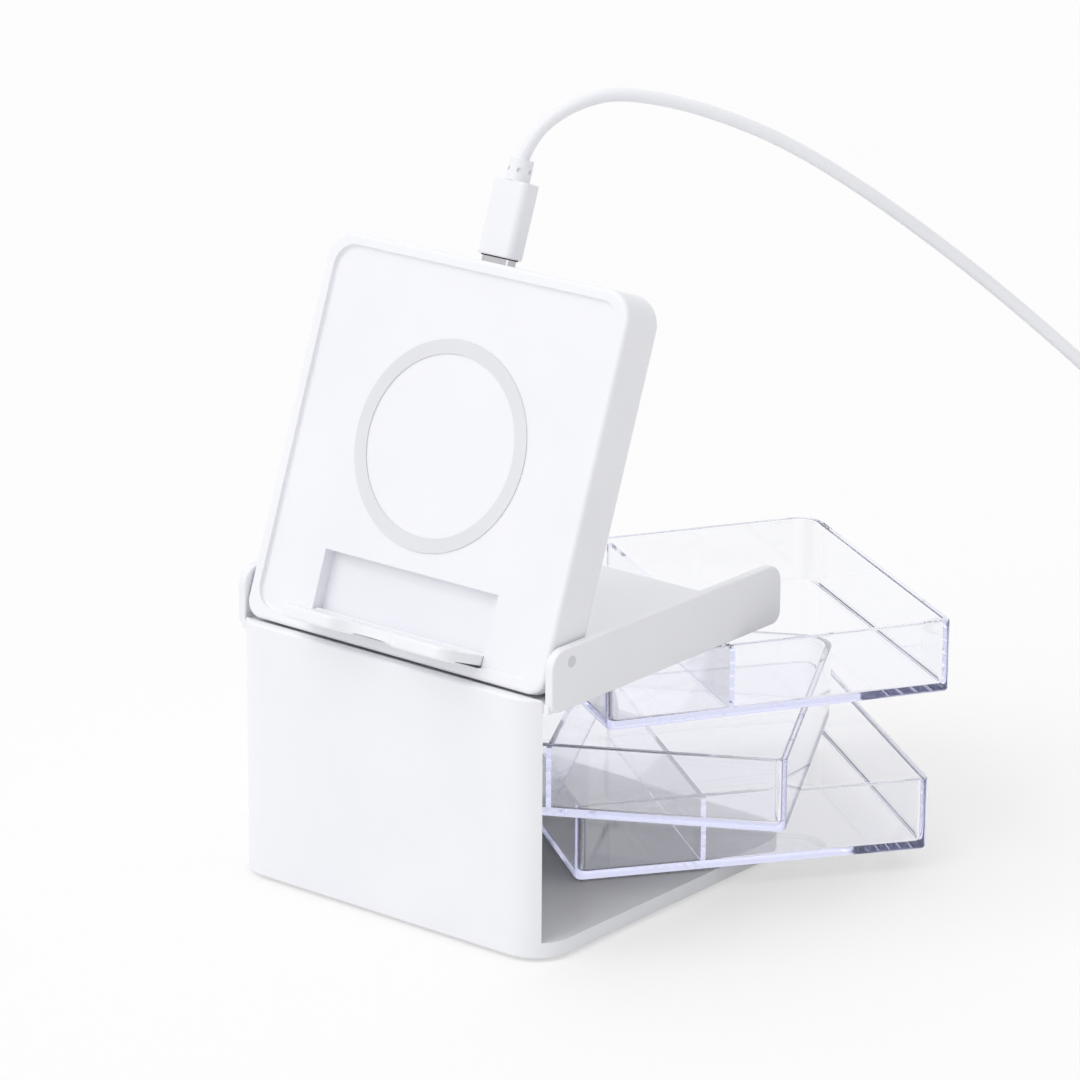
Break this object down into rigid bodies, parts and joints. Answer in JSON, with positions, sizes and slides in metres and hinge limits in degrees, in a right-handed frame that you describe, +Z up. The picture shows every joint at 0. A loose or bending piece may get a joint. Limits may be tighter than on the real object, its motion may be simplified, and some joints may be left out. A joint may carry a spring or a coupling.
{
  "type": "charging station organizer",
  "caption": "Square desk organizer with clear swing-out trays under a tilting wireless charging pad with a fold-out phone ledge and a cable.",
  "frame": {"origin": "middle of the square base on the table", "axes": "+X to the right, +Y to the rear, +Z up; the front wall faces -Y"},
  "size_m": [0.2064, 0.168, 0.1669],
  "materials": {
    "white_shell": "smooth white moulding, semi-gloss",
    "clear_tray": "clear moulding with a lavender tint in its edges",
    "foot_rubber": "matt",
    "steel": "turned",
    "bright_steel": "bright",
    "brass": "turned",
    "washer_plastic": "matt",
    "grip_silicone": "matt",
    "copper_winding": "enamelled",
    "ferrite": "matt",
    "board_laminate": "solder mask",
    "chip_black": "matt",
    "cable_white": "satin",
    "tie_black": "matt"
  },
  "bodies": {
    "housing": {"housing_shell": "white_shell", "deck_frame": "white_shell", "foot_sheet": "foot_rubber", "pivot_rod": "steel", "rod_insert": "brass", "tray_washers": "washer_plastic", "pad_hinge_pins": "steel", "cable": "cable_white", "cable_coil": "cable_white", "coil_tie": "tie_black", "usb_plug_overmould": "cable_white", "usb_plug_shell": "bright_steel"},
    "pad": {"pad_front_shell": "white_shell", "pad_rear_shell": "white_shell", "grip_ring": "grip_silicone", "charging_coil": "copper_winding", "ferrite_sheet": "ferrite", "circuit_board": "board_laminate", "board_parts": "chip_black", "usb_c_socket": "bright_steel", "pad_screws": "steel", "ledge_pin": "steel", "plug_shell": "bright_steel", "plug_overmould": "cable_white", "plug_relief": "cable_white"},
    "ledge": {"phone_ledge": "white_shell"},
    "tray_bottom": {"tray_bottom": "clear_tray"},
    "tray_middle": {"tray_middle": "clear_tray"},
    "tray_top": {"tray_top": "clear_tray"}
  },
  "joints": [
    {"name": "pad_tilt", "type": "hinge", "parent": "housing", "child": "pad", "pos_m": [0, -0.03325, 0.0634], "axis": [-1, 0, 0], "range_deg": [0, 69.5]},
    {"name": "ledge_fold", "type": "hinge", "parent": "pad", "child": "ledge", "pos_m": [0, -0.03661, 0.05985], "axis": [-1, 0, 0], "range_deg": [0, 90]},
    {"name": "tray_bottom_swing", "type": "hinge", "parent": "housing", "child": "tray_bottom", "pos_m": [-0.0356, 0.03785, 0], "axis": [0, 0, 1], "range_deg": [-54, 36]},
    {"name": "tray_middle_swing", "type": "hinge", "parent": "housing", "child": "tray_middle", "pos_m": [-0.0356, 0.03785, 0], "axis": [0, 0, 1], "range_deg": [-29, 61]},
    {"name": "tray_top_swing", "type": "hinge", "parent": "housing", "child": "tray_top", "pos_m": [-0.0356, 0.03785, 0], "axis": [0, 0, 1], "range_deg": [-58.9, 31.1]}
  ]
}
